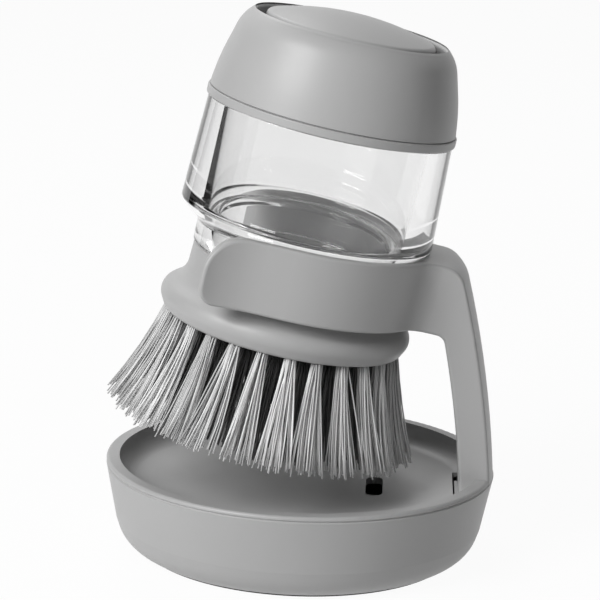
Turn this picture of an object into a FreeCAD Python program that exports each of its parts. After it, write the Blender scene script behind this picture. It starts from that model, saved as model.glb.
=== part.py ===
import FreeCAD, Part
import math
import os

# Soap-dispensing palm brush on a drip stand, in millimetres.
# The origin is the centre of the base on the surface it stands on, +Z is up and
# the stand's leg is on +X. The brush leans towards the leg.

Vector = FreeCAD.Vector
ORIGIN = Vector(0, 0, 0)
X_AXIS = Vector(1, 0, 0)
Y_AXIS = Vector(0, 1, 0)
Z_AXIS = Vector(0, 0, 1)
FULL_TURN = 360.0

# How far a cutting tool runs past the face that it cuts
overrun = 1.0
# Points that are nearer than this are one point
same_point = 0.000001
# Two faces that meet at more than this many degrees have a sharp edge
sharp_angle = 30.0
# The leg's crown is swept this many degrees about the centre of the leg's curve
crown_sweep = 90.0

# Base bowl and its non-slip pad
base_radius = 50.0
bowl_height = 22.1
bowl_wall = 1.6
bowl_floor = 1.6
bowl_draft = 2.7
bowl_corner_height = 8.0
bowl_corner_inset = 1.7
bowl_corner_level = 2.9
bowl_corner_round = 8.0
bowl_foot_inset = 8.5
pad_margin = 0.9
pad_thickness = 1.8
pad_stand_out = 0.6
pad_clearance = 0.1
seam_chamfer = 0.35

# Drip tray that drops into the bowl
rim_thickness = 1.3
rim_width = 3.3
rim_round = 0.8
tray_wall = 1.3
tray_depth = 5.6
tray_floor = 1.8
tray_corner_radius = 4.5
tray_skirt_taper = 2.0
tray_skirt_drop = 3.4
dish_fall = 1.5
dish_bend_share = 0.4
drain_slot_width = 4.4
drain_slot_length = 16.0
drain_slot_offset = 19.4

# Leg, and the tenon that plugs it into the tray
leg_width = 25.0
leg_thickness = 9.0
leg_foot_inset = 0.2
leg_foot_lean = 4.4
leg_curve_radius = 280.0
leg_crown = 1.3
leg_outer_corner = 6.5
leg_inner_corner = 2.8
arm_edge_round = 0.8
foot_clearance = 0.15
foot_slit_width = 1.4
tenon_inset = 0.4
tenon_thickness = 2.2
tenon_width = 12.0
tenon_length = 5.0
tenon_clearance = 0.1
socket_wall = 1.2

# How the brush hangs, and the fork that holds it
brush_lean = 10.64
tip_height = 5.65
head_leg_gap = 8.07
fork_bar = 5.0
fork_clearance = 1.7
fork_reach = 22.0
fork_flare_start = 8.0
fork_flare_radius = 62.0
fork_top_drop = 0.9
fork_tip_top_round = 9.5
fork_tip_bottom_round = 4.5
fork_blend_radius = 6.5
seat_clearance = 0.33
waist_clearance = 0.5

# Clear soap reservoir, with its heights taken from the brush's seat
neck_ring_radius = 27.2
neck_ring_drop = 5.8
shoulder_reach = 5.3
shoulder_height = 4.6
reservoir_height = 31.65
reservoir_taper = 1.2
reservoir_corner_round = 1.2
spigot_inset = 3.0
spigot_drop = 13.8
spigot_wall = 2.2
mouth_inset = 3.3
mouth_height = 4.35
mouth_wall = 1.7
cavity_taper = 0.9
cavity_floor_height = 3.0
cavity_corner_round = 2.0

# Screw-on brush head
head_top_gap = 0.3
head_bore_clearance = 0.4
head_collar_wall = 2.2
head_collar_spread = 0.4
head_waist_drop = 14.6
head_flare_round = 6.0
head_flange_reach = 6.2
head_flange_fall = 4.4
head_flange_round = 3.4
head_flange_height = 5.0
head_foot_inset = 2.6
head_foot_round = 1.6
head_top_round = 0.5
neck_seal_thickness = 1.6
neck_seal_inset = 2.0
seal_clearance = 0.3

# Slit valve in the middle of the head, and the ring that keeps it there
valve_flange_radius = 8.2
valve_flange_thickness = 1.4
valve_nozzle_radius = 4.6
valve_nozzle_recess = 0.2
valve_wall = 1.0
valve_slit_width = 0.4
valve_clearance = 0.15
nozzle_clearance = 0.4
retainer_width = 2.8
retainer_thickness = 1.8

# Bristle tufts: eight-sided bundles set in blind holes, one row inside another
tuft_sides = 8
tuft_root_radius = 1.6
tuft_tip_radius = 2.8
tuft_length = 27.3
tuft_hole_depth = 2.5
tuft_clearance = 0.08
tuft_edge_margin = 1.9
tuft_row_pitch = 5.7
outer_row_count = 26
outer_row_splay = 9.1
middle_row_count = 20
middle_row_splay = 6.4
inner_row_count = 14
inner_row_splay = 4.1
centre_row_count = 8
centre_row_splay = 2.2

# Collar that clamps the pump on the reservoir's mouth
collar_lip_overhang = 0.65
collar_lip_height = 2.2
collar_wall = 1.0
collar_clearance = 0.1
collar_grip_height = 1.2
collar_grip_reach = 3.4
mouth_seal_thickness = 1.0
pump_plate_thickness = 2.0
pump_plate_clearance = 0.1
pump_port_radius = 3.0

# Grey cap shell, with its heights taken from the reservoir's top
cap_foot_inset = 0.4
cap_belly_inset = 0.9
cap_belly_height = 9.2
cap_belly_round = 60.0
cap_shoulder_inset = 3.35
cap_shoulder_drop = 2.4
cap_shoulder_round = 10.0
cap_rim_height = 23.65
cap_rim_width = 3.1
cap_rim_round = 0.7
cap_wall = 1.4
button_sleeve_drop = 4.5
sleeve_wall = 2.0

# Push button and what it works
button_gap = 2.6
button_sink = 0.5
button_rise = 3.4
button_edge_round = 1.2
button_skin = 1.8
button_flange_overlap = 1.2
button_flange_thickness = 1.3
button_flange_gap = 0.3
button_boss_radius = 5.0
button_roof_rise = 0.7
bellows_flange_width = 4.0
bellows_flange_thickness = 1.2
bellows_wall = 1.1
bellows_waist_inset = 3.5
bellows_belly_inset = 1.0
bellows_crown_inset = 6.0
bellows_height = 8.0
bellows_waist_share = 0.4
bellows_belly_share = 0.72
bellows_ring_clearance = 1.2
bellows_ring_overhang = 2.0
bellows_ring_thickness = 1.4
spring_inset = 2.0
spring_wire = 1.2
spring_turns = 4
spring_seat_drop = 2.3
spring_seat_reach = 1.4
spring_clearance = 0.05
air_valve_margin = 1.0
air_valve_radius = 3.0
air_valve_thickness = 0.8
air_valve_stem_radius = 1.1
air_valve_bulb_radius = 1.7
air_valve_bulb_height = 1.2
air_valve_clearance = 0.05
bulb_clearance = 1.6

# Base and tray
bowl_foot_radius = base_radius - bowl_foot_inset
pad_radius = bowl_foot_radius - pad_margin
rim_top = bowl_height + rim_thickness
dish_radius = base_radius - rim_width
dish_edge = rim_top - tray_depth
dish_floor = dish_edge - dish_fall
dish_bend = dish_radius * dish_bend_share
dish_slope = math.atan2(dish_fall, dish_radius - dish_bend)
dish_curve_radius = dish_bend / math.tan(dish_slope / 2)
tray_underside = dish_floor - tray_floor
skirt_radius = dish_radius + tray_wall

# Reservoir and head, from the neck outwards and inwards
spigot_radius = neck_ring_radius - spigot_inset
neck_bore_radius = spigot_radius - spigot_wall
reservoir_foot_radius = neck_ring_radius + shoulder_reach
reservoir_top_radius = reservoir_foot_radius - reservoir_taper
mouth_radius = reservoir_top_radius - mouth_inset
mouth_top = reservoir_height + mouth_height
cavity_radius = mouth_radius - mouth_wall
cavity_floor_radius = cavity_radius - cavity_taper
head_top_drop = neck_ring_drop + head_top_gap
head_bore_radius = spigot_radius + head_bore_clearance
head_collar_radius = head_bore_radius + head_collar_wall
head_waist_radius = head_collar_radius + head_collar_spread
head_flange_radius = head_waist_radius + head_flange_reach
head_flange_drop = head_waist_drop + head_flange_fall
head_foot_radius = head_flange_radius - head_foot_inset
head_foot_drop = head_flange_drop + head_flange_height
neck_seal_drop = spigot_drop + neck_seal_thickness
head_ledge_drop = neck_seal_drop + seal_clearance
valve_seat_drop = head_ledge_drop + retainer_thickness + valve_flange_thickness
valve_bore_radius = valve_nozzle_radius + nozzle_clearance
valve_nozzle_foot = head_foot_drop - valve_nozzle_recess

# Bristles
tuft_tip_drop = head_foot_drop + tuft_length
outer_row_root = head_foot_radius - tuft_edge_margin
middle_row_root = outer_row_root - tuft_row_pitch
inner_row_root = middle_row_root - tuft_row_pitch
centre_row_root = inner_row_root - tuft_row_pitch
outer_row_tip = outer_row_root + outer_row_splay

# Cap, pump and button
collar_bore = mouth_radius + collar_clearance
collar_radius = collar_bore + collar_wall
collar_lip_radius = reservoir_top_radius + collar_lip_overhang
collar_lip_top = reservoir_height + collar_lip_height
plate_radius = collar_bore - pump_plate_clearance
plate_foot = mouth_top + mouth_seal_thickness
plate_top = plate_foot + pump_plate_thickness
cap_foot_radius = collar_lip_radius - cap_foot_inset
cap_belly_radius = cap_foot_radius - cap_belly_inset
cap_shoulder_radius = cap_belly_radius - cap_shoulder_inset
cap_rim = reservoir_height + cap_rim_height
button_opening_radius = cap_shoulder_radius - cap_rim_width
button_radius = button_opening_radius - button_gap
button_flange_radius = button_opening_radius + button_flange_overlap
button_edge = cap_rim - button_sink
button_top = button_edge + button_rise
button_roof = button_edge + button_roof_rise
sleeve_foot = cap_rim - button_sleeve_drop
button_flange_top = sleeve_foot - button_flange_gap
button_flange_foot = button_flange_top - button_flange_thickness
air_valve_offset = cavity_radius - air_valve_radius - air_valve_margin
bellows_ring_radius = air_valve_offset - air_valve_bulb_radius - bulb_clearance
bellows_flange_radius = bellows_ring_radius - bellows_ring_overhang
bellows_foot_radius = bellows_flange_radius - bellows_flange_width
bellows_ring_bore = bellows_foot_radius + bellows_ring_clearance
bellows_flange_top = plate_top + bellows_flange_thickness
bellows_ring_top = bellows_flange_top + bellows_ring_thickness
bellows_top = plate_top + bellows_height
spring_radius = bellows_ring_radius - spring_inset
spring_seat = button_edge - spring_seat_drop
spring_seat_radius = spring_radius - spring_seat_reach

# Leg: its outer face is an arc that starts at the rim
leg_lean = math.radians(leg_foot_lean)
leg_foot = Vector(base_radius - leg_foot_inset, 0, bowl_height)
leg_centre = leg_foot - Vector(math.cos(leg_lean), 0, math.sin(leg_lean)) * leg_curve_radius


def leg_inner_x(height):
    """How far out the leg's inner face is at a height."""
    rise = height - leg_centre.z
    return leg_centre.x + math.sqrt((leg_curve_radius - leg_thickness) ** 2 - rise ** 2)


leg_inner_foot = leg_inner_x(dish_edge)

# The brush's seat: its bristles clear the dish and its flange clears the leg
lean_sine = math.sin(math.radians(brush_lean))
lean_cosine = math.cos(math.radians(brush_lean))
tips_below_seat = (outer_row_tip + tuft_tip_radius) * lean_sine + tuft_tip_drop * lean_cosine
seat_height = dish_edge + tip_height + tips_below_seat
flange_height = seat_height - head_flange_radius * lean_sine - head_flange_drop * lean_cosine
flange_reach = head_flange_radius * lean_cosine - head_flange_drop * lean_sine
seat_setback = flange_reach + head_leg_gap - leg_inner_x(flange_height)
brush_place = FreeCAD.Placement(
    Vector(-seat_setback, 0, seat_height),
    FreeCAD.Rotation(Y_AXIS, brush_lean),
)

# Fork: round the neck, with a sloped seat under the reservoir's shoulder
fork_inner_radius = neck_ring_radius + fork_clearance
fork_outer_radius = fork_inner_radius + fork_bar
fork_rise = shoulder_height - fork_top_drop
fork_drop = head_waist_drop - waist_clearance
shoulder_slope = math.atan2(shoulder_height, shoulder_reach)
seat_foot_radius = neck_ring_radius + seat_clearance / math.sin(shoulder_slope)
seat_level = fork_rise + overrun
seat_top_radius = seat_foot_radius + seat_level / math.tan(shoulder_slope)


def outline(corners):
    """Closed face in the XZ plane from (x, z, rounding) corners."""
    points = [Vector(x, 0, z) for x, z, rounding in corners]
    edges = []
    first = None
    last = None
    for index, (x, z, rounding) in enumerate(corners):
        here = points[index]
        back = (points[index - 1] - here).normalize()
        ahead = (points[(index + 1) % len(points)] - here).normalize()
        start = here
        end = here
        arc = None
        if rounding > 0:
            half = back.getAngle(ahead) / 2
            reach = rounding / math.tan(half)
            start = here + back * reach
            end = here + ahead * reach
            inward = (back + ahead).normalize()
            middle = here + inward * (rounding / math.sin(half) - rounding)
            arc = Part.Arc(start, middle, end).toShape()
        if last is None:
            first = start
        elif (start - last).Length > same_point:
            edges.append(Part.LineSegment(last, start).toShape())
        if arc is not None:
            edges.append(arc)
        last = end
    if (first - last).Length > same_point:
        edges.append(Part.LineSegment(last, first).toShape())
    return Part.Face(Part.Wire(edges))


def turned(corners):
    """Solid turned about Z from an outline of (radius, height, rounding) corners."""
    return outline(corners).revolve(ORIGIN, Z_AXIS, FULL_TURN)


def block(low_x, high_x, width, low_z, high_z):
    """Box that is centred across Y."""
    corner = Vector(low_x, -width / 2, low_z)
    return Part.makeBox(high_x - low_x, width, high_z - low_z, corner)


def post(radius, low_z, high_z, centre_x):
    """Upright round post on the X axis."""
    return Part.makeCylinder(radius, high_z - low_z, Vector(centre_x, 0, low_z))


def prism_tiers(tiers):
    """Solid through eight-sided tiers, each a list of points, with flat sides."""
    faces = [Part.Face(Part.makePolygon(tiers[0] + tiers[0][:1]))]
    faces.append(Part.Face(Part.makePolygon(tiers[-1] + tiers[-1][:1])))
    for lower, upper in zip(tiers, tiers[1:]):
        for index in range(len(lower)):
            after = (index + 1) % len(lower)
            side = [lower[index], lower[after], upper[after], upper[index], lower[index]]
            faces.append(Part.Face(Part.makePolygon(side)))
    solid = Part.makeSolid(Part.makeShell(faces))
    if solid.Volume < 0:
        solid.reverse()
    return solid


def base_bowl():
    """Round bowl with a recess for the pad under its floor."""
    foot = pad_stand_out
    recess_top = pad_thickness + pad_clearance
    floor_top = recess_top + bowl_floor
    corner_radius = base_radius - bowl_draft
    inner_corner = corner_radius - bowl_wall
    shell = turned([
        (0, foot, 0),
        (bowl_foot_radius, foot, 0),
        (corner_radius - bowl_corner_inset, bowl_corner_level, bowl_corner_round),
        (corner_radius, bowl_corner_height, 0),
        (base_radius, bowl_height - seam_chamfer, 0),
        (base_radius - seam_chamfer, bowl_height, 0),
        (base_radius - bowl_wall, bowl_height, 0),
        (inner_corner, bowl_corner_height, bowl_corner_round),
        (bowl_foot_radius - bowl_wall, floor_top, 0),
        (0, floor_top, 0),
    ])
    recess = Part.makeCylinder(pad_radius + pad_clearance, recess_top)
    return shell.cut(recess)


def base_pad():
    """Rubber disc that the stand rests on."""
    return Part.makeCylinder(pad_radius, pad_thickness)


def dish_corners():
    """Corners of the dish surface, from the rim inwards."""
    return [
        (dish_radius, rim_top, 0),
        (dish_radius, dish_edge, tray_corner_radius),
        (dish_bend, dish_floor, dish_curve_radius),
        (0, dish_floor, 0),
    ]


def dish_level(radius):
    """Height of the dish outside its bend."""
    return dish_floor + (radius - dish_bend) * math.tan(dish_slope)


def drip_tray():
    """Dished tray whose rim lies on the bowl, with a drain slot, the leg's socket and a slit beside it."""
    skirt_foot = skirt_radius - tray_skirt_taper - tray_corner_radius
    tray = turned(dish_corners() + [
        (0, tray_underside, 0),
        (dish_bend, tray_underside, dish_curve_radius),
        (skirt_foot, dish_level(skirt_foot) - tray_floor, 0),
        (skirt_radius - tray_skirt_taper, bowl_height - tray_skirt_drop, 0),
        (skirt_radius, bowl_height, 0),
        (base_radius - seam_chamfer, bowl_height, 0),
        (base_radius, bowl_height + seam_chamfer, 0),
        (base_radius, rim_top, rim_round),
    ])
    slit = block(leg_inner_foot - foot_slit_width, leg_inner_foot, leg_width,
                 tray_underside - overrun, dish_edge + overrun)
    tenon_low = leg_inner_foot + tenon_inset - tenon_clearance
    tenon_high = leg_inner_foot + tenon_inset + tenon_thickness + tenon_clearance
    slot_width = tenon_width + 2 * tenon_clearance
    socket_foot = dish_edge - tenon_length
    boss = block(tenon_low - socket_wall, tenon_high + socket_wall, slot_width + 2 * socket_wall,
                 socket_foot, dish_edge - tray_floor / 2)
    slot = block(tenon_low, tenon_high, slot_width, socket_foot - overrun, dish_edge + overrun)
    notch = block(leg_inner_foot, base_radius + overrun, leg_width + 2 * foot_clearance,
                  bowl_height, rim_top + overrun)
    straight = drain_slot_length - drain_slot_width
    drain = block(drain_slot_offset - drain_slot_width / 2, drain_slot_offset + drain_slot_width / 2,
                  straight, tray_underside - overrun, dish_edge + overrun)
    for side in (-1, 1):
        end = post(drain_slot_width / 2, tray_underside - overrun, dish_edge + overrun, drain_slot_offset)
        end.translate(Y_AXIS * side * straight / 2)
        drain = drain.fuse(end)
    return tray.cut(slit).fuse(boss).cut(slot).cut(notch).cut(drain)


def seat_point(along, height):
    """Point of the brush's middle plane, from its seat."""
    return brush_place.multVec(Vector(along, 0, height))


def corner_centre(level, curve_radius):
    """Centre of a corner at this level of the fork and this far from the leg's centre."""
    along_fork = brush_place.Rotation.multVec(X_AXIS)
    start = seat_point(0, level)
    offset = start - leg_centre
    half = offset.dot(along_fork)
    reach = math.sqrt(half ** 2 - offset.dot(offset) + curve_radius ** 2) - half
    return start + along_fork * reach


def line_between(start, end):
    return Part.LineSegment(start, end).toShape()


def arc_about(centre, start, end):
    """The shorter arc between two points that lie equally far from a centre."""
    radius = (start - centre).Length
    between = ((start - centre).normalize() + (end - centre).normalize()).normalize()
    return Part.Arc(start, centre + between * radius, end).toShape()


def arm_side():
    """Side view of the fork and the leg, with room outside for the leg's crown."""
    centre = leg_centre
    up = brush_place.Rotation.multVec(Z_AXIS)
    inner_radius = leg_curve_radius - leg_thickness
    corner = corner_centre(fork_rise, leg_curve_radius + overrun)
    crook = corner_centre(-fork_drop - leg_inner_corner, inner_radius - leg_inner_corner)
    crook_start = centre + (crook - centre).normalize() * inner_radius
    crook_end = crook + up * leg_inner_corner
    foot_angle = math.asin((tray_underside - centre.z) / leg_curve_radius)
    foot_out = Vector(math.cos(foot_angle), 0, math.sin(foot_angle))
    foot_outer = centre + foot_out * (leg_curve_radius + overrun)
    foot_inner = centre + foot_out * inner_radius
    tip_top = seat_point(-fork_reach, fork_rise - fork_tip_top_round)
    tip_top_centre = seat_point(fork_tip_top_round - fork_reach, fork_rise - fork_tip_top_round)
    tip_bottom = seat_point(-fork_reach, fork_tip_bottom_round - fork_drop)
    tip_bottom_centre = seat_point(fork_tip_bottom_round - fork_reach, fork_tip_bottom_round - fork_drop)
    top_start = tip_top_centre + up * fork_tip_top_round
    bottom_end = tip_bottom_centre - up * fork_tip_bottom_round
    return Part.Face(Part.Wire([
        arc_about(tip_top_centre, tip_top, top_start),
        line_between(top_start, corner),
        arc_about(centre, corner, foot_outer),
        line_between(foot_outer, foot_inner),
        arc_about(centre, foot_inner, crook_start),
        arc_about(crook, crook_start, crook_end),
        line_between(crook_end, bottom_end),
        arc_about(tip_bottom_centre, bottom_end, tip_bottom),
        line_between(tip_bottom, tip_top),
    ]))


def flare_tip(bar_radius):
    """Centre of an arm's flare, and where the flare of this face passes the tip."""
    centre = Vector(-fork_flare_start, fork_flare_radius, 0)
    run = fork_reach + overrun - fork_flare_start
    radius = fork_flare_radius - bar_radius
    return centre, centre - Vector(run, math.sqrt(radius ** 2 - run ** 2), 0)


def arm_half_plan():
    """Half the plan of the fork, on +Y: ring, flared arm, and tongue for the leg."""
    half_tongue = leg_width / 2
    tongue_end = base_radius * 2
    blend_across = half_tongue + fork_blend_radius
    blend_reach = fork_outer_radius + fork_blend_radius
    blend = Vector(math.sqrt(blend_reach ** 2 - blend_across ** 2), blend_across, 0)
    blend_start = blend * (fork_outer_radius / blend_reach)
    blend_end = blend - Y_AXIS * fork_blend_radius
    flare, outer_tip = flare_tip(fork_outer_radius)
    flare, inner_tip = flare_tip(fork_inner_radius)
    outer_side = Vector(0, fork_outer_radius, 0)
    inner_side = Vector(0, fork_inner_radius, 0)
    outer_flare = Vector(-fork_flare_start, fork_outer_radius, 0)
    inner_flare = Vector(-fork_flare_start, fork_inner_radius, 0)
    return Part.Face(Part.Wire([
        line_between(X_AXIS * fork_inner_radius, X_AXIS * tongue_end),
        line_between(X_AXIS * tongue_end, Vector(tongue_end, half_tongue, 0)),
        line_between(Vector(tongue_end, half_tongue, 0), blend_end),
        arc_about(blend, blend_end, blend_start),
        arc_about(ORIGIN, blend_start, outer_side),
        line_between(outer_side, outer_flare),
        arc_about(flare, outer_flare, outer_tip),
        line_between(outer_tip, inner_tip),
        arc_about(flare, inner_tip, inner_flare),
        line_between(inner_flare, inner_side),
        arc_about(ORIGIN, inner_side, X_AXIS * fork_inner_radius),
    ]))


def leg_crown_room():
    """All that lies inside the crowned outer face of the leg."""
    half_width = leg_width / 2
    crown_radius = (half_width ** 2 + leg_crown ** 2) / (2 * leg_crown)
    crown_centre = leg_centre + X_AXIS * (leg_curve_radius - crown_radius)
    side = crown_centre + Y_AXIS * crown_radius
    top = leg_centre + X_AXIS * leg_curve_radius
    back = leg_centre + X_AXIS * (leg_curve_radius - base_radius * 2)
    section = Part.Face(Part.Wire([
        arc_about(crown_centre, side, top),
        arc_about(crown_centre, top, side - Y_AXIS * crown_radius * 2),
        line_between(side - Y_AXIS * crown_radius * 2, back - Y_AXIS * crown_radius),
        line_between(back - Y_AXIS * crown_radius, back + Y_AXIS * crown_radius),
        line_between(back + Y_AXIS * crown_radius, side),
    ]))
    section.rotate(leg_centre, Y_AXIS, crown_sweep / 2)
    return section.revolve(leg_centre, Y_AXIS * -1, crown_sweep)


def seat_room():
    """Room for the reservoir's shoulder, in place and all along the arms."""
    cone = turned([
        (0, 0, 0),
        (seat_foot_radius, 0, 0),
        (seat_top_radius, seat_level, 0),
        (0, seat_level, 0),
    ])
    section = Part.Face(Part.makePolygon([
        Vector(0, -seat_foot_radius, 0),
        Vector(0, seat_foot_radius, 0),
        Vector(0, seat_top_radius, seat_level),
        Vector(0, -seat_top_radius, seat_level),
        Vector(0, -seat_foot_radius, 0),
    ]))
    room = cone.fuse(section.extrude(X_AXIS * -(fork_reach + overrun))).removeSplitter()
    room.Placement = brush_place
    return room


def sharp_edges(solid, above):
    """Edges over a height where two faces meet at a clear angle."""
    chosen = []
    for edge in solid.Edges:
        if max(corner.Point.z for corner in edge.Vertexes) < above:
            continue
        middle = edge.valueAt((edge.FirstParameter + edge.LastParameter) / 2)
        normals = []
        for face in solid.ancestorsOfType(edge, Part.Face):
            u, v = face.Surface.parameter(middle)
            normals.append(face.normalAt(u, v))
        if normals[0].getAngle(normals[1]) > math.radians(sharp_angle):
            chosen.append(edge)
    return chosen


def holder_arm():
    """Leg and fork in one moulding, with the tenon that plugs it into the tray."""
    side = arm_side()
    side.translate(Y_AXIS * -base_radius)
    side = side.extrude(Y_AXIS * base_radius * 2)
    plan = arm_half_plan().extrude(Z_AXIS * (seat_height + fork_rise + overrun))
    plan.translate(Z_AXIS * -seat_height)
    plan = plan.fuse(plan.mirror(ORIGIN, Y_AXIS)).removeSplitter()
    plan.Placement = brush_place
    arm = side.common(plan).common(leg_crown_room())
    corner = Part.Vertex(corner_centre(fork_rise, leg_curve_radius))
    bend = min(arm.Edges, key=lambda edge: edge.distToShape(corner)[0])
    arm = arm.makeFillet(leg_outer_corner, [bend]).cut(seat_room())
    arm = arm.makeFillet(arm_edge_round, sharp_edges(arm, rim_top))
    under_tray = turned(dish_corners()[1:] + [
        (0, -overrun, 0),
        (base_radius + leg_thickness, -overrun, 0),
        (base_radius + leg_thickness, bowl_height, 0),
        (dish_radius, bowl_height, 0),
    ])
    inner_x = leg_inner_foot + tenon_inset
    tenon = block(inner_x, inner_x + tenon_thickness, tenon_width,
                  dish_edge - tenon_length, dish_edge + tenon_thickness)
    return arm.cut(under_tray).fuse(tenon).removeSplitter()


def reservoir():
    """Thick clear cup with a neck below and a mouth above."""
    return turned([
        (neck_bore_radius, -spigot_drop, 0),
        (spigot_radius, -spigot_drop, 0),
        (spigot_radius, -neck_ring_drop, 0),
        (neck_ring_radius, -neck_ring_drop, 0),
        (neck_ring_radius, 0, 0),
        (reservoir_foot_radius, shoulder_height, reservoir_corner_round),
        (reservoir_top_radius, reservoir_height, 0),
        (mouth_radius, reservoir_height, 0),
        (mouth_radius, mouth_top, 0),
        (cavity_radius, mouth_top, 0),
        (cavity_floor_radius, cavity_floor_height, cavity_corner_round),
        (neck_bore_radius, cavity_floor_height, reservoir_corner_round),
    ])


def tuft_ring(radius, centre, angle, height):
    """Corner points of one tier of a tuft."""
    points = []
    for side in range(tuft_sides):
        turn = angle + side * 2 * math.pi / tuft_sides
        points.append(centre + Vector(radius * math.cos(turn), radius * math.sin(turn), height))
    return points


def tuft_row(count, root, tip):
    """One row of tufts, splayed outwards from the head, as a list of solids."""
    tufts = []
    for index in range(count):
        angle = index * 2 * math.pi / count
        outward = Vector(math.cos(angle), math.sin(angle), 0)
        tufts.append(prism_tiers([
            tuft_ring(tuft_tip_radius, outward * tip, angle, -tuft_tip_drop),
            tuft_ring(tuft_root_radius, outward * root, angle, -head_foot_drop),
            tuft_ring(tuft_root_radius, outward * root, angle, tuft_hole_depth - head_foot_drop),
        ]))
    return tufts


def tuft_holes(count, root):
    """Blind holes for one row of tufts."""
    holes = []
    for index in range(count):
        angle = index * 2 * math.pi / count
        outward = Vector(math.cos(angle), math.sin(angle), 0)
        wide = tuft_root_radius + tuft_clearance
        holes.append(prism_tiers([
            tuft_ring(wide, outward * root, angle, -head_foot_drop - overrun),
            tuft_ring(wide, outward * root, angle, tuft_hole_depth - head_foot_drop),
        ]))
    return holes


def brush_head():
    """Grey screw-on head with a flange, drilled for its tufts and its valve."""
    body = turned([
        (head_bore_radius, -head_top_drop, 0),
        (head_collar_radius, -head_top_drop, head_top_round),
        (head_waist_radius, -head_waist_drop, head_flare_round),
        (head_flange_radius, -head_flange_drop, head_flange_round),
        (head_foot_radius, -head_foot_drop, head_foot_round),
        (valve_bore_radius, -head_foot_drop, 0),
        (valve_bore_radius, -valve_seat_drop, 0),
        (valve_flange_radius + valve_clearance, -valve_seat_drop, 0),
        (valve_flange_radius + valve_clearance, -head_ledge_drop, 0),
        (head_bore_radius, -head_ledge_drop, 0),
    ])
    holes = []
    for name, count, root, tip in tuft_rows:
        holes.extend(tuft_holes(count, root))
    return body.cut(Part.makeCompound(holes))


def neck_seal():
    """Flat gasket that the reservoir's spigot presses on the head's ledge."""
    return turned([
        (spigot_radius - neck_seal_inset, -neck_seal_drop, 0),
        (spigot_radius, -neck_seal_drop, 0),
        (spigot_radius, -spigot_drop, 0),
        (spigot_radius - neck_seal_inset, -spigot_drop, 0),
    ])


def outlet_valve():
    """Silicone valve with a slit across the end of its nozzle."""
    valve_top = valve_flange_thickness - valve_seat_drop
    inner_radius = valve_nozzle_radius - valve_wall
    valve = turned([
        (0, -valve_nozzle_foot, 0),
        (valve_nozzle_radius, -valve_nozzle_foot, valve_wall),
        (valve_nozzle_radius, -valve_seat_drop, 0),
        (valve_flange_radius, -valve_seat_drop, 0),
        (valve_flange_radius, valve_top, 0),
        (inner_radius, valve_top, 0),
        (inner_radius, valve_wall - valve_nozzle_foot, 0),
        (0, valve_wall - valve_nozzle_foot, 0),
    ])
    slit = block(-inner_radius + valve_wall, inner_radius - valve_wall, valve_slit_width,
                 -valve_nozzle_foot - overrun, valve_wall - valve_nozzle_foot + overrun)
    return valve.cut(slit)


def valve_retainer():
    """Ring that holds the valve's flange on its seat."""
    retainer_bore = valve_flange_radius - retainer_width
    return turned([
        (retainer_bore, -head_ledge_drop - retainer_thickness, 0),
        (valve_flange_radius, -head_ledge_drop - retainer_thickness, 0),
        (valve_flange_radius, -head_ledge_drop, 0),
        (retainer_bore, -head_ledge_drop, 0),
    ])


def cap_collar():
    """Collar that snaps over the reservoir's mouth and grips the pump plate."""
    grip_top = plate_top + collar_grip_height
    grip_radius = collar_radius - collar_grip_reach
    return turned([
        (collar_bore, reservoir_height, 0),
        (collar_lip_radius, reservoir_height, seam_chamfer),
        (collar_lip_radius, collar_lip_top, seam_chamfer),
        (collar_radius, collar_lip_top, 0),
        (collar_radius, grip_top, 0),
        (grip_radius, grip_top, 0),
        (grip_radius, plate_top, 0),
        (collar_bore, plate_top, 0),
    ])


def mouth_seal():
    """Gasket between the reservoir's mouth and the pump plate."""
    return turned([
        (cavity_radius, mouth_top, 0),
        (mouth_radius, mouth_top, 0),
        (mouth_radius, plate_foot, 0),
        (cavity_radius, plate_foot, 0),
    ])


def pump_plate():
    """Plate with an air port in the middle and a hole for the air valve."""
    plate = post(plate_radius, plate_foot, plate_top, 0)
    port = post(pump_port_radius, plate_foot - overrun, plate_top + overrun, 0)
    valve_hole = post(air_valve_stem_radius + air_valve_clearance, plate_foot - overrun,
                      plate_top + overrun, air_valve_offset)
    return plate.cut(port).cut(valve_hole)


def bellows():
    """Silicone bellows with one fold, closed at the top."""
    fold_height = bellows_top - bellows_flange_top
    waist = bellows_flange_top + fold_height * bellows_waist_share
    belly = bellows_flange_top + fold_height * bellows_belly_share
    waist_radius = bellows_foot_radius - bellows_waist_inset
    belly_radius = bellows_foot_radius - bellows_belly_inset
    crown_radius = bellows_foot_radius - bellows_crown_inset
    return turned([
        (bellows_foot_radius - bellows_wall, plate_top, 0),
        (bellows_flange_radius, plate_top, 0),
        (bellows_flange_radius, bellows_flange_top, 0),
        (bellows_foot_radius, bellows_flange_top, 0),
        (waist_radius, waist, bellows_wall),
        (belly_radius, belly, bellows_wall),
        (crown_radius, bellows_top, 0),
        (0, bellows_top, 0),
        (0, bellows_top - bellows_wall, 0),
        (crown_radius - bellows_wall, bellows_top - bellows_wall, 0),
        (belly_radius - bellows_wall, belly, 0),
        (waist_radius - bellows_wall, waist, 0),
    ])


def bellows_ring():
    """Ring that clamps the bellows' flange on the plate."""
    return turned([
        (bellows_ring_bore, bellows_flange_top, 0),
        (bellows_ring_radius, bellows_flange_top, 0),
        (bellows_ring_radius, bellows_ring_top, 0),
        (bellows_ring_bore, bellows_ring_top, 0),
    ])


def helix_point(turns, low, pitch):
    """Point and direction of the spring's centre line after a number of turns."""
    angle = turns * 2 * math.pi
    place = Vector(spring_radius * math.cos(angle), spring_radius * math.sin(angle), low + turns * pitch)
    rise = pitch / (2 * math.pi)
    heading = Vector(-spring_radius * math.sin(angle), spring_radius * math.cos(angle), rise)
    return place, heading.normalize()


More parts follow.
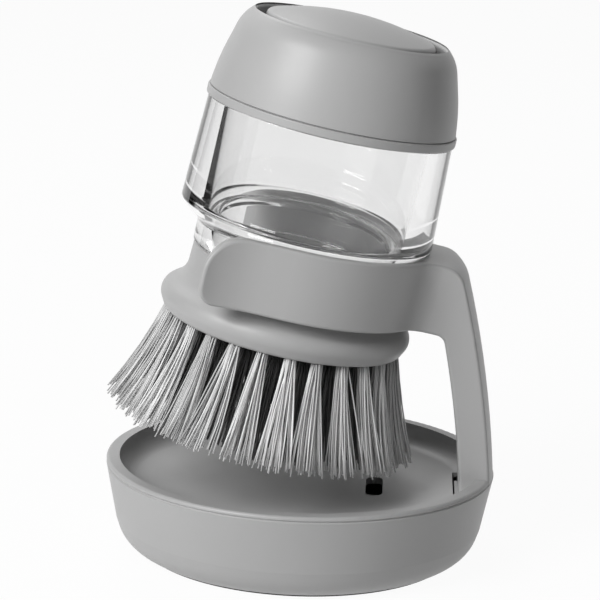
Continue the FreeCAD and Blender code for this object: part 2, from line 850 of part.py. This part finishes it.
def leaving_arc(start, heading, end):
    """Arc that leaves a point along a heading and ends at another point."""
    chord = end - start
    along = Vector(chord).normalize()
    across = (heading - along * heading.dot(along)).normalize()
    bow = chord.Length / 2 * math.tan(heading.getAngle(chord) / 2)
    return Part.Arc(start, start + chord / 2 + across * bow, end).toShape()


def button_spring():
    """Coil spring between the bellows ring and the button, on two arcs for each quarter turn."""
    wire = spring_wire / 2
    low = bellows_ring_top + spring_clearance + wire
    high = spring_seat - spring_clearance - wire
    pitch = (high - low) / spring_turns
    print("button_spring gap between turns", round(pitch - spring_wire, 2))
    arcs = []
    for quarter in range(spring_turns * 4):
        start, heading = helix_point(quarter / 4, low, pitch)
        end, ending = helix_point((quarter + 1) / 4, low, pitch)
        chord = end - start
        both = heading + ending
        square = 4 - both.dot(both)
        reach = (math.sqrt(chord.dot(both) ** 2 + square * chord.dot(chord)) - chord.dot(both)) / square
        middle = (start + heading * reach + end - ending * reach) / 2
        arcs.append(leaving_arc(start, heading, middle))
        arcs.append(leaving_arc(end, ending * -1, middle))
    begin, heading = helix_point(0, low, pitch)
    section = Part.Wire(Part.Circle(begin, heading, wire).toShape())
    return Part.Wire(arcs).makePipeShell([section], True, False)


def air_valve():
    """Umbrella valve that hangs under the plate by its stem."""
    bulb_top = plate_top + air_valve_bulb_height
    skirt_foot = plate_foot - air_valve_thickness
    skirt = post(air_valve_radius, skirt_foot, plate_foot, air_valve_offset)
    stem = post(air_valve_stem_radius, skirt_foot, bulb_top, air_valve_offset)
    bulb = Part.makeCone(air_valve_bulb_radius, air_valve_stem_radius, air_valve_bulb_height,
                         Vector(air_valve_offset, 0, plate_top))
    return skirt.fuse(stem).fuse(bulb).removeSplitter()


def cap_shell():
    """Grey cap with a barrelled side and a sleeve round the button."""
    belly = reservoir_height + cap_belly_height
    return turned([
        (cap_foot_radius - cap_wall, collar_lip_top, 0),
        (cap_foot_radius - seam_chamfer, collar_lip_top, 0),
        (cap_foot_radius, collar_lip_top + seam_chamfer, 0),
        (cap_belly_radius, belly, cap_belly_round),
        (cap_shoulder_radius, cap_rim - cap_shoulder_drop, cap_shoulder_round),
        (button_opening_radius, cap_rim, cap_rim_round),
        (button_opening_radius, sleeve_foot, 0),
        (button_opening_radius + sleeve_wall, sleeve_foot, 0),
        (cap_belly_radius - cap_wall, belly, cap_belly_round),
    ])


def button():
    """Domed push button with a flange under the cap's sleeve and a boss over the bellows."""
    dome_bend = (button_radius - button_edge_round) / 2
    dome_slope = math.atan2(button_rise, button_radius - dome_bend)
    inner_radius = button_radius - button_skin
    return turned([
        (0, button_top, 0),
        (dome_bend, button_top, dome_bend / math.tan(dome_slope / 2)),
        (button_radius, button_edge, button_edge_round),
        (button_radius, button_flange_top, 0),
        (button_flange_radius, button_flange_top, 0),
        (button_flange_radius, button_flange_foot, 0),
        (inner_radius, button_flange_foot, 0),
        (inner_radius, spring_seat, 0),
        (spring_seat_radius, spring_seat, 0),
        (spring_seat_radius, button_roof, 0),
        (button_boss_radius, button_roof, 0),
        (button_boss_radius, bellows_top, 0),
        (0, bellows_top, 0),
    ])


tuft_rows = [
    ("outer_tufts", outer_row_count, outer_row_root, outer_row_tip),
    ("middle_tufts", middle_row_count, middle_row_root, middle_row_root + middle_row_splay),
    ("inner_tufts", inner_row_count, inner_row_root, inner_row_root + inner_row_splay),
    ("centre_tufts", centre_row_count, centre_row_root, centre_row_root + centre_row_splay),
]

stand_parts = {
    "base_bowl": base_bowl(),
    "base_pad": base_pad(),
    "drip_tray": drip_tray(),
    "holder_arm": holder_arm(),
}

brush_parts = {
    "reservoir": reservoir(),
    "brush_head": brush_head(),
    "neck_seal": neck_seal(),
    "outlet_valve": outlet_valve(),
    "valve_retainer": valve_retainer(),
    "cap_collar": cap_collar(),
    "mouth_seal": mouth_seal(),
    "pump_plate": pump_plate(),
    "bellows": bellows(),
    "bellows_ring": bellows_ring(),
    "button_spring": button_spring(),
    "air_valve": air_valve(),
    "cap_shell": cap_shell(),
    "button": button(),
}
for name, count, root, tip in tuft_rows:
    brush_parts[name] = Part.makeCompound(tuft_row(count, root, tip))
for shape in brush_parts.values():
    shape.Placement = brush_place.multiply(shape.Placement)

os.makedirs("parts", exist_ok=True)
for name, shape in list(stand_parts.items()) + list(brush_parts.items()):
    shape.exportStep("parts/" + name + ".step")
    print(name, "solids", len(shape.Solids), "valid", shape.isValid(), "volume", round(shape.Volume, 1))
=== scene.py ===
# %% [markdown]
# A palm-held dish brush hangs, leaning, in the fork of a round drip stand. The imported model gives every
# solid its real size and place, in metres. This script dresses it: it sets up the view and the light, gives
# each piece its finish, and remakes the pieces that need more than a plain solid, such as the bristles and
# the clear cup.

# %% Load the frame
import math
import random

import bmesh
import bpy
from mathutils import Matrix, Vector


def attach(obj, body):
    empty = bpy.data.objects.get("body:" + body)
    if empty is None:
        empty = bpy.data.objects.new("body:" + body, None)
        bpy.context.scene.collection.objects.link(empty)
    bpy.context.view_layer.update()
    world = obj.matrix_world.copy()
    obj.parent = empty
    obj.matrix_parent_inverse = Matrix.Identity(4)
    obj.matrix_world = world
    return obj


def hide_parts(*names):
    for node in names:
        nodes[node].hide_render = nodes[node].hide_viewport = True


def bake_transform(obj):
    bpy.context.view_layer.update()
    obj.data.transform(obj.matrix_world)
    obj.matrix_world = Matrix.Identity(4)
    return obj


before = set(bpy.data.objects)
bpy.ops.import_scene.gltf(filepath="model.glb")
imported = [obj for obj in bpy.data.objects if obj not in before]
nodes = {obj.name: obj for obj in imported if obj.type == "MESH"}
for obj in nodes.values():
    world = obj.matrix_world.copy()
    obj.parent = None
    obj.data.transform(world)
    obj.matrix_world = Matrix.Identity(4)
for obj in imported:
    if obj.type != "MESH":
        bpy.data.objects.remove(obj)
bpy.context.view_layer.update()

MM = 0.001
scene = bpy.context.scene

# %% [markdown]
# The photograph is taken from a little above, with a long lens, and the camera is tipped slightly to one
# side. A camera could be aimed with a constraint, but a matrix made of its right, up and back directions
# keeps the tip under control.

# %% Directions of the camera
CAMERA_AZIMUTH = math.radians(1.776)
CAMERA_HEIGHT_ANGLE = math.radians(12.846)
CAMERA_DISTANCE = 659.35 * MM
CAMERA_TIP = math.radians(2.284)
ORBIT_POINT = Vector((0.0, 0.0, 70.0)) * MM
AIM_POINT = Vector((-1.692, -1.05, 65.421)) * MM

outward = Vector((
    math.sin(CAMERA_AZIMUTH) * math.cos(CAMERA_HEIGHT_ANGLE),
    -math.cos(CAMERA_AZIMUTH) * math.cos(CAMERA_HEIGHT_ANGLE),
    math.sin(CAMERA_HEIGHT_ANGLE),
))
camera_place = ORBIT_POINT + outward * CAMERA_DISTANCE
camera_back = (camera_place - AIM_POINT).normalized()
level_right = Vector((0, 0, 1)).cross(camera_back).normalized()
level_up = camera_back.cross(level_right)
camera_right = level_right * math.cos(CAMERA_TIP) + level_up * math.sin(CAMERA_TIP)
camera_up = level_up * math.cos(CAMERA_TIP) - level_right * math.sin(CAMERA_TIP)
camera_turn = Matrix((camera_right, camera_up, camera_back)).transposed().to_4x4()
print("camera at", [round(v, 4) for v in camera_place])

# %% [markdown]
# The lens is long, so the rims of the bowl and the cap look almost as flat as they would from far away. The
# plain Standard view keeps whites white.

# %% Camera
LENS = 155.33
SENSOR_WIDTH = 36.0
CLIP_START = 0.01

camera_data = bpy.data.cameras.new("studio_camera")
camera_data.lens = LENS
camera_data.sensor_width = SENSOR_WIDTH
camera_data.clip_start = CLIP_START
camera = bpy.data.objects.new("studio_camera", camera_data)
scene.collection.objects.link(camera)
camera.matrix_world = Matrix.Translation(camera_place) @ camera_turn
scene.camera = camera
scene.view_settings.view_transform = "Standard"
print("lens", LENS)

# %% [markdown]
# The studio is a pale floor under a white sky. The camera, reflections and refractions see both as white.
# The sky itself lights the object only a little, so that one side of it stays in shade.

# %% White sky
SKY_LIGHT = 0.085


def grey(level):
    """An opaque grey as a colour socket takes it."""
    return (level, level, level, 1.0)


def join(tree, start, end):
    tree.links.new(start, end)


def seen_directly(tree):
    """A value of 1 for camera, glossy and transmission rays, and 0 for the light that falls on the object."""
    path = tree.nodes.new("ShaderNodeLightPath")
    camera_or_gloss = tree.nodes.new("ShaderNodeMath")
    camera_or_gloss.operation = "MAXIMUM"
    join(tree, path.outputs["Is Camera Ray"], camera_or_gloss.inputs[0])
    join(tree, path.outputs["Is Glossy Ray"], camera_or_gloss.inputs[1])
    any_of_three = tree.nodes.new("ShaderNodeMath")
    any_of_three.operation = "MAXIMUM"
    join(tree, camera_or_gloss.outputs[0], any_of_three.inputs[0])
    join(tree, path.outputs["Is Transmission Ray"], any_of_three.inputs[1])
    return any_of_three.outputs[0]


def spread_between(tree, value, low, high):
    """Maps a value of 0 to 1 on to a range."""
    spread = tree.nodes.new("ShaderNodeMapRange")
    spread.inputs["To Min"].default_value = low
    spread.inputs["To Max"].default_value = high
    join(tree, value, spread.inputs["Value"])
    return spread.outputs["Result"]


world = bpy.data.worlds.new("white_studio")
scene.world = world
world.use_nodes = True
sky = world.node_tree
background = sky.nodes["Background"]
background.inputs["Color"].default_value = grey(1.0)
join(sky, spread_between(sky, seen_directly(sky), SKY_LIGHT, 1.0), background.inputs["Strength"])
print("sky lights the object at", SKY_LIGHT)

# %% [markdown]
# The floor glows almost white where it is seen directly. The small share of it that is painted keeps a
# faint shadow under the object. It lies a hair below the object's foot, so that the two don't share a
# plane.

# %% Floor
FLOOR_SIZE = 6.0
FLOOR_DROP = 0.1 * MM
FLOOR_GREY = 0.86
FLOOR_ROUGHNESS = 0.7
FLOOR_WHITE_SHARE = 0.95


def staged_sheet(name, size, place, finish):
    """A flat square sheet of the studio, which isn't part of the object."""
    mesh = bmesh.new()
    bmesh.ops.create_grid(mesh, x_segments=1, y_segments=1, size=size / 2, matrix=place)
    data = bpy.data.meshes.new(name)
    mesh.to_mesh(data)
    mesh.free()
    data.materials.append(finish)
    sheet = bpy.data.objects.new(name, data)
    scene.collection.objects.link(sheet)
    return sheet


floor_finish = bpy.data.materials.new("pale_floor")
floor_finish.use_nodes = True
floor_tree = floor_finish.node_tree
floor_paint = floor_tree.nodes["Principled BSDF"]
floor_paint.inputs["Base Color"].default_value = grey(FLOOR_GREY)
floor_paint.inputs["Roughness"].default_value = FLOOR_ROUGHNESS
floor_glow = floor_tree.nodes.new("ShaderNodeEmission")
floor_share = floor_tree.nodes.new("ShaderNodeMath")
floor_share.operation = "MULTIPLY"
floor_share.inputs[1].default_value = FLOOR_WHITE_SHARE
floor_mix = floor_tree.nodes.new("ShaderNodeMixShader")
join(floor_tree, seen_directly(floor_tree), floor_share.inputs[0])
join(floor_tree, floor_share.outputs[0], floor_mix.inputs["Fac"])
join(floor_tree, floor_paint.outputs["BSDF"], floor_mix.inputs[1])
join(floor_tree, floor_glow.outputs["Emission"], floor_mix.inputs[2])
join(floor_tree, floor_mix.outputs["Shader"], floor_tree.nodes["Material Output"].inputs["Surface"])
floor = staged_sheet("floor", FLOOR_SIZE, Matrix.Translation((0.0, 0.0, -FLOOR_DROP)), floor_finish)
print(floor.name, FLOOR_SIZE, "m wide")

# %% [markdown]
# Clear plastic on white would have no edges at all, so two dark cards stand beside the object, as a
# photographer would put them. Only reflections and refractions see them.

# %% Dark cards
CARD_GREY = 0.01
CARD_ROUGHNESS = 0.9

card_finish = bpy.data.materials.new("dark_card")
card_finish.use_nodes = True
card_paint = card_finish.node_tree.nodes["Principled BSDF"]
card_paint.inputs["Base Color"].default_value = grey(CARD_GREY)
card_paint.inputs["Roughness"].default_value = CARD_ROUGHNESS


def dark_card(name, place, size):
    """An upright card that faces the object and only shows in its reflections and refractions."""
    upright = Matrix.Rotation(math.radians(90.0), 4, "Y")
    card = staged_sheet(name, size, Matrix.Translation(place) @ upright, card_finish)
    card.visible_camera = False
    card.visible_diffuse = False
    card.visible_shadow = False
    print(name, "at", place)


dark_card("card_left", (-0.22, 0.05, 0.15), 0.24)
dark_card("card_right", (0.36, 0.05, 0.15), 0.20)

# %% [markdown]
# One large soft lamp from the left shapes the object, as in the photograph. A weak one from behind lights
# the upper edges and the far side.

# %% Lamps
LAMP_AIM = (0.0, 0.0, 0.07)


def soft_lamp(name, place, size, power):
    """A square lamp that faces the object."""
    lamp = bpy.data.lights.new(name, "AREA")
    lamp.size = size
    lamp.energy = power
    lamp_object = bpy.data.objects.new(name, lamp)
    scene.collection.objects.link(lamp_object)
    lamp_object.location = place
    lamp_object.rotation_euler = (Vector(LAMP_AIM) - Vector(place)).to_track_quat("-Z", "Y").to_euler()
    print(name, power, "W")


soft_lamp("window_left", (-0.68, -0.76, 0.74), 0.6, 13.8)
soft_lamp("back_light", (-0.20, 0.60, 0.80), 0.4, 2.2)

# %% [markdown]
# Almost every rigid piece is moulded in the same grey plastic. Its satin look comes from a very fine grain,
# which softens the gloss. A picture of real grain would show seams, so noise in the piece's own space is
# used. The grain is a node group, because more than one finish uses it. It puts out the fine grain and a
# broad, faint cloud.

# %% Shared grain
FINE_GRAIN = 2200.0
BROAD_CLOUDS = 40.0


def new_group(name, inputs, outputs):
    """An empty shader node group with named value sockets."""
    group = bpy.data.node_groups.new(name, "ShaderNodeTree")
    for socket_name, default in inputs:
        socket = group.interface.new_socket(socket_name, in_out="INPUT", socket_type="NodeSocketFloat")
        socket.default_value = default
    for socket_name in outputs:
        group.interface.new_socket(socket_name, in_out="OUTPUT", socket_type="NodeSocketFloat")
    return group, group.nodes.new("NodeGroupInput"), group.nodes.new("NodeGroupOutput")


grain_group, grain_in, grain_out = new_group(
    "moulded_grain",
    [("Grain Scale", FINE_GRAIN), ("Cloud Scale", BROAD_CLOUDS)],
    ["Grain", "Clouds"],
)
grain_place = grain_group.nodes.new("ShaderNodeTexCoord")
for scale_name, result_name, detail in (("Grain Scale", "Grain", 3.0), ("Cloud Scale", "Clouds", 2.0)):
    noise = grain_group.nodes.new("ShaderNodeTexNoise")
    noise.inputs["Detail"].default_value = detail
    join(grain_group, grain_place.outputs["Object"], noise.inputs["Vector"])
    join(grain_group, grain_in.outputs[scale_name], noise.inputs["Scale"])
    join(grain_group, noise.outputs["Fac"], grain_out.inputs[result_name])
print("group", grain_group.name)

# %% [markdown]
# A moulded finish takes its tone from the cloud and its gloss and relief from the grain. The grey plastic,
# the inner white plastic, the silicone and the rubber differ only in these values.

# %% Moulded finishes
RELIEF_STRENGTH = 0.25


def grain_node(tree, grain_scale, cloud_scale):
    """The shared grain, placed in a material with its own scales."""
    grain = tree.nodes.new("ShaderNodeGroup")
    grain.node_tree = grain_group
    grain.inputs["Grain Scale"].default_value = grain_scale
    grain.inputs["Cloud Scale"].default_value = cloud_scale
    return grain


def tone_between(tree, share, dark, light):
    """A grey between two levels."""
    tone = tree.nodes.new("ShaderNodeMix")
    tone.data_type = "RGBA"
    tone.inputs["A"].default_value = grey(dark)
    tone.inputs["B"].default_value = grey(light)
    join(tree, share, tone.inputs["Factor"])
    return tone.outputs["Result"]


def moulded(name, dark, light, smooth, rough, depth):
    """A moulded finish: a faint cloud of tone, and a fine grain in gloss and relief, its depth in metres."""
    finish = bpy.data.materials.new(name)
    finish.use_nodes = True
    tree = finish.node_tree
    surface = tree.nodes["Principled BSDF"]
    grain = grain_node(tree, FINE_GRAIN, BROAD_CLOUDS)
    join(tree, tone_between(tree, grain.outputs["Clouds"], dark, light), surface.inputs["Base Color"])
    join(tree, spread_between(tree, grain.outputs["Grain"], smooth, rough), surface.inputs["Roughness"])
    relief = tree.nodes.new("ShaderNodeBump")
    relief.inputs["Strength"].default_value = RELIEF_STRENGTH
    relief.inputs["Distance"].default_value = depth
    join(tree, grain.outputs["Grain"], relief.inputs["Height"])
    join(tree, relief.outputs["Normal"], surface.inputs["Normal"])
    return finish


satin_grey = moulded("satin_grey", 0.385, 0.415, 0.36, 0.50, 0.00002)
plain_white = moulded("inner_white", 0.60, 0.66, 0.40, 0.55, 0.00002)
soft_silicone = moulded("soft_silicone", 0.48, 0.54, 0.55, 0.70, 0.00003)
pad_rubber = moulded("dark_rubber", 0.030, 0.045, 0.70, 0.85, 0.00006)
print("finishes", [finish.name for finish in (satin_grey, plain_white, soft_silicone, pad_rubber)])

# %% [markdown]
# The solids whose shape is right keep it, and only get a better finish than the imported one.

# %% Finishes on the solids


def paint(finish, *names):
    """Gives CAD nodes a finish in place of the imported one."""
    for name in names:
        node = nodes[name]
        node.data.materials.clear()
        node.data.materials.append(finish)
    print(finish.name, "on", len(names), "nodes")


paint(satin_grey, "base_bowl", "drip_tray", "holder_arm", "cap_collar", "cap_shell", "button", "brush_head")
paint(plain_white, "pump_plate", "bellows_ring", "valve_retainer")
paint(soft_silicone, "mouth_seal", "neck_seal", "air_valve", "bellows", "outlet_valve")
paint(pad_rubber, "base_pad")

# %% [markdown]
# The spring inside the cap is drawn steel wire. It shows only when the cap is taken apart, so its finish is
# simple: a plain metal whose gloss varies along the wire.

# %% Spring steel
spring_steel = moulded("drawn_steel", 0.52, 0.60, 0.22, 0.38, 0.00001)
spring_steel.node_tree.nodes["Principled BSDF"].inputs["Metallic"].default_value = 1.0
paint(spring_steel, "button_spring")

# %% [markdown]
# The brush leans in its stand. The cup and the tufts are made upright about the brush's own axis, with the
# reservoir's seat at height zero, and then put in place by one matrix. New pieces keep that place in their
# mesh, so that their objects stay at the origin.

# %% Place of the brush
BRUSH_LEAN = math.radians(10.64)
SEAT = Vector((-1.6, 0.0, 81.4)) * MM
BRUSH_PLACE = Matrix.Translation(SEAT) @ Matrix.Rotation(BRUSH_LEAN, 4, "Y")


def new_piece(name, mesh, finish):
    """Turns a bmesh into an object of its own."""
    data = bpy.data.meshes.new(name)
    mesh.to_mesh(data)
    mesh.free()
    data.materials.append(finish)
    piece = bpy.data.objects.new(name, data)
    scene.collection.objects.link(piece)
    return piece


def add_piece(name, mesh, finish, body):
    """A new piece that rides on a body."""
    piece = new_piece(name, mesh, finish)
    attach(piece, body)
    return piece


def smooth_faces(mesh):
    for face in mesh.faces:
        face.smooth = True


print("brush leans", round(math.degrees(BRUSH_LEAN), 2), "degrees")

# %% [markdown]
# The spring and the bellows give way when the button is pressed. Each is drawn as a smooth-shaded copy of
# its solid, which is hidden.

# %% Spring and bellows
MERGE_DISTANCE = 0.001 * MM


def flexing(name, node, finish):
    """A smooth-shaded copy of a node, which takes the place of the hidden node."""
    mesh = bmesh.new()
    mesh.from_mesh(nodes[node].data)
    bmesh.ops.remove_doubles(mesh, verts=mesh.verts, dist=MERGE_DISTANCE)
    bmesh.ops.recalc_face_normals(mesh, faces=mesh.faces)
    smooth_faces(mesh)
    piece = new_piece(name, mesh, finish)
    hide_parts(node)
    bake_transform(piece)


flexing("giving_spring", "button_spring", spring_steel)
flexing("giving_bellows", "bellows", soft_silicone)

# %% [markdown]
# A turned piece is drawn as a profile of corners, most of them rounded. A screw modifier could turn it, but
# a full spin with merged ends leaves a plain closed mesh. Each arc has a short straight run before and
# after it, so that the shading of the flats stays flat.

# %% Turned pieces
SPIN_STEPS = 160
ARC_STEPS = 6
SUPPORT = 0.05


def rounded(corners):
    """Points of a closed profile from (radius, height, rounding) corners in millimetres."""
    points = [Vector((radius, 0.0, height)) for radius, height, rounding in corners]
    path = []
    for index, (radius, height, rounding) in enumerate(corners):
        here = points[index]
        if rounding == 0:
            path.append(here * MM)
            continue
        back = (points[index - 1] - here).normalized()
        ahead = (points[(index + 1) % len(points)] - here).normalized()
        half = back.angle(ahead) / 2
        centre = here + (back + ahead).normalized() * (rounding / math.sin(half))
        reach = rounding / math.tan(half)
        start = here + back * reach - centre
        end = here + ahead * reach - centre
        path.append((here + back * (reach + SUPPORT)) * MM)
        for step in range(ARC_STEPS + 1):
            path.append((centre + start.slerp(end, step / ARC_STEPS) * rounding) * MM)
        path.append((here + ahead * (reach + SUPPORT)) * MM)
    return path


def turned(corners):
    """A closed turned solid, as a bmesh in place on the brush."""
    mesh = bmesh.new()
    profile = [mesh.verts.new(point) for point in rounded(corners)]
    edges = [mesh.edges.new((profile[i - 1], profile[i])) for i in range(len(profile))]
    bmesh.ops.spin(mesh, geom=profile + edges, cent=(0, 0, 0), axis=(0, 0, 1), dvec=(0, 0, 0),
                   angle=math.tau, steps=SPIN_STEPS, use_merge=True, use_duplicate=False)
    bmesh.ops.recalc_face_normals(mesh, faces=mesh.faces)
    bmesh.ops.transform(mesh, matrix=BRUSH_PLACE, verts=mesh.verts)
    smooth_faces(mesh)
    return mesh


print("a turned piece has", SPIN_STEPS, "steps")

# %% [markdown]
# The soap cup is moulded in clear plastic. Its tone is a little below white, because the photograph shows
# the cup slightly grey against the background. The gloss varies very slightly, and the glass itself stays
# plain.

# %% Clear plastic
CLEAR_INDEX = 1.49

clear = bpy.data.materials.new("clear_cup")
clear.use_nodes = True
clear_tree = clear.node_tree
clear_surface = clear_tree.nodes["Principled BSDF"]
clear_surface.inputs["Transmission Weight"].default_value = 1.0
clear_surface.inputs["IOR"].default_value = CLEAR_INDEX
clear_grain = grain_node(clear_tree, 900.0, 60.0)
clear_tone = tone_between(clear_tree, clear_grain.outputs["Clouds"], 0.895, 0.925)
clear_gloss = spread_between(clear_tree, clear_grain.outputs["Grain"], 0.0, 0.03)
join(clear_tree, clear_tone, clear_surface.inputs["Base Color"])
join(clear_tree, clear_gloss, clear_surface.inputs["Roughness"])
print("clear plastic bends light at", CLEAR_INDEX)

# %% [markdown]
# The cup is one thick moulding. Its outer wall and its cavity are both turned, and the light that bends
# between them makes the lines at its edges. The profile starts at the bore of the neck, goes up the outside
# to the mouth and comes back down the cavity.

# %% Clear cup
cup_mesh = turned([
    (22.0, -13.8, 0),
    (24.2, -13.8, 0.3),
    (24.2, -5.8, 0.3),
    (27.2, -5.8, 0.4),
    (27.2, 0.0, 0.5),
    (32.5, 4.6, 1.2),
    (31.3, 31.65, 0.3),
    (28.0, 31.65, 0.2),
    (28.0, 36.0, 0.2),
    (26.3, 36.0, 0.2),
    (25.4, 3.0, 2.0),
    (22.0, 3.0, 1.2),
])
cup = add_piece("clear_cup", cup_mesh, clear, "brush")
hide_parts("reservoir")
print("clear cup faces", len(cup.data.polygons))

# %% [markdown]
# A tuft is a bundle of nylon filaments that fans out towards its tips. Hair particles could draw them, but
# hair isn't a mesh. Each filament is a five-sided tube that is extruded along a slightly bent path. It
# carries a tone of its own, because real filaments catch the light differently.

# %% Filaments
random.seed(7)
FILAMENT_RADIUS = 0.2
FILAMENT_SIDES = 5
FILAMENT_STEPS = 4


def add_filament(mesh, tone_layer, foot, tip, bow, tone):
    """One bent five-sided filament from foot to tip, in millimetres."""
    ring = bmesh.ops.create_circle(mesh, cap_ends=True, segments=FILAMENT_SIDES, radius=FILAMENT_RADIUS * MM,
                                   matrix=Matrix.Translation(foot * MM))
    verts = list(ring["verts"])
    cap = verts[0].link_faces[0]
    last = foot
    for step in range(1, FILAMENT_STEPS + 1):
        along = step / FILAMENT_STEPS
        point = foot.lerp(tip, along) + bow * (4 * along * (1 - along))
        grown = bmesh.ops.extrude_discrete_faces(mesh, faces=[cap])
        cap = grown["faces"][0]
        bmesh.ops.translate(mesh, verts=cap.verts, vec=(point - last) * MM)
        verts.extend(cap.verts)
        last = point
    for vert in verts:
        vert[tone_layer] = tone


print("a filament is", 2 * FILAMENT_RADIUS, "mm thick")

# %% [markdown]
# The filaments of a tuft start close together in their hole and are spread evenly over it by a golden-angle
# spiral. Their tips stray at random and are cut to slightly different lengths. A slight inward bow gives
# the tuft the hollow outline that it has in the photograph. Extruding leaves the root ends open, so they
# are filled.

# %% Tufts
GOLDEN_ANGLE = 2.399963
SPIRAL_JITTER = 0.3
ROOT_DROP = 23.7
ROOT_SPREAD = 1.4
TIP_DROP = 51.2
INWARD_BOW = 0.75


def bundle(root_radius, splay, reach, width, count):
    """One tuft on the X side of the head, as mesh data."""
    mesh = bmesh.new()
    tone_layer = mesh.verts.layers.float.new("tone")
    for index in range(count):
        out = math.sqrt((index + 0.5) / count)
        angle = index * GOLDEN_ANGLE + random.uniform(-SPIRAL_JITTER, SPIRAL_JITTER)
        across = Vector((math.cos(angle) * out, math.sin(angle) * out, 0.0))
        foot = Vector((root_radius, 0.0, -ROOT_DROP)) + across * ROOT_SPREAD
        spread = Vector((across.x * reach, across.y * width, 0.0))
        stray = Vector((random.uniform(-0.9, 0.2), random.gauss(0.0, 1.1), random.uniform(0.4, 2.6)))
        tip = Vector((root_radius + splay, 0.0, -TIP_DROP)) + spread + stray
        bow = Vector((random.uniform(-0.3, 0.3) - INWARD_BOW, random.uniform(-0.5, 0.5), 0.0))
        add_filament(mesh, tone_layer, foot, tip, bow, random.random())
    roots = [edge for edge in mesh.edges if edge.is_boundary]
    bmesh.ops.holes_fill(mesh, edges=roots, sides=FILAMENT_SIDES)
    bmesh.ops.recalc_face_normals(mesh, faces=mesh.faces)
    data = bpy.data.meshes.new("bundle")
    mesh.to_mesh(data)
    mesh.free()
    return data


print("bristles reach", round(TIP_DROP - ROOT_DROP, 1), "mm down")

# %% [markdown]
# The nylon is light in the outer row and dark inside. Its tone is read from each filament's own attribute.

# %% Nylon


def bristle(name, dark, light, gloss):
    """Nylon whose tone differs from filament to filament."""
    finish = bpy.data.materials.new(name)
    finish.use_nodes = True
    tree = finish.node_tree
    surface = tree.nodes["Principled BSDF"]
    surface.inputs["Roughness"].default_value = gloss
    tone = tree.nodes.new("ShaderNodeAttribute")
    tone.attribute_name = "tone"
    join(tree, tone_between(tree, tone.outputs["Fac"], dark, light), surface.inputs["Base Color"])
    return finish


light_nylon = bristle("light_nylon", 0.50, 0.90, 0.35)
dark_nylon = bristle("dark_nylon", 0.05, 0.16, 0.40)
print("nylon", light_nylon.name, dark_nylon.name)

# %% [markdown]
# A row repeats a few different bundles round the head, and leans each one a little to the side about its
# root, as used tufts do. Each row is one piece in place of its solids.

# %% Rows of tufts
BUNDLES_PER_ROW = 4
BUNDLE_STRIDE = 3
SIDE_LEAN = math.radians(3.0)


def tuft_row(name, node, finish, count, root_radius, splay, reach, width, filaments):
    """A whole row of tufts as one piece that stands in for its CAD solids."""
    bundles = [bundle(root_radius, splay, reach, width, filaments) for index in range(BUNDLES_PER_ROW)]
    root = Matrix.Translation(Vector((root_radius, 0.0, -ROOT_DROP)) * MM)
    mesh = bmesh.new()
    for index in range(count):
        before = len(mesh.verts)
        mesh.from_mesh(bundles[(index * BUNDLE_STRIDE) % BUNDLES_PER_ROW])
        mesh.verts.ensure_lookup_table()
        turn = Matrix.Rotation(index * math.tau / count, 4, "Z")
        lean = Matrix.Rotation(random.gauss(0.0, SIDE_LEAN), 4, "X")
        place = BRUSH_PLACE @ turn @ root @ lean @ root.inverted()
        bmesh.ops.transform(mesh, matrix=place, verts=mesh.verts[before:])
    smooth_faces(mesh)
    row = add_piece(name, mesh, finish, "head")
    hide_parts(node)
    for data in bundles:
        bpy.data.meshes.remove(data)
    print(name, "filaments", count * filaments, "faces", len(row.data.polygons))


tuft_row("outer_bristles", "outer_tufts", light_nylon, count=26, root_radius=28.9,
         splay=9.1, reach=2.5, width=4.3, filaments=36)
tuft_row("middle_bristles", "middle_tufts", dark_nylon, count=20, root_radius=23.2,
         splay=7.4, reach=3.4, width=4.8, filaments=30)
tuft_row("inner_bristles", "inner_tufts", dark_nylon, count=14, root_radius=17.5,
         splay=4.1, reach=2.6, width=4.2, filaments=22)
tuft_row("centre_bristles", "centre_tufts", dark_nylon, count=8, root_radius=11.8,
         splay=2.2, reach=2.6, width=3.0, filaments=20)
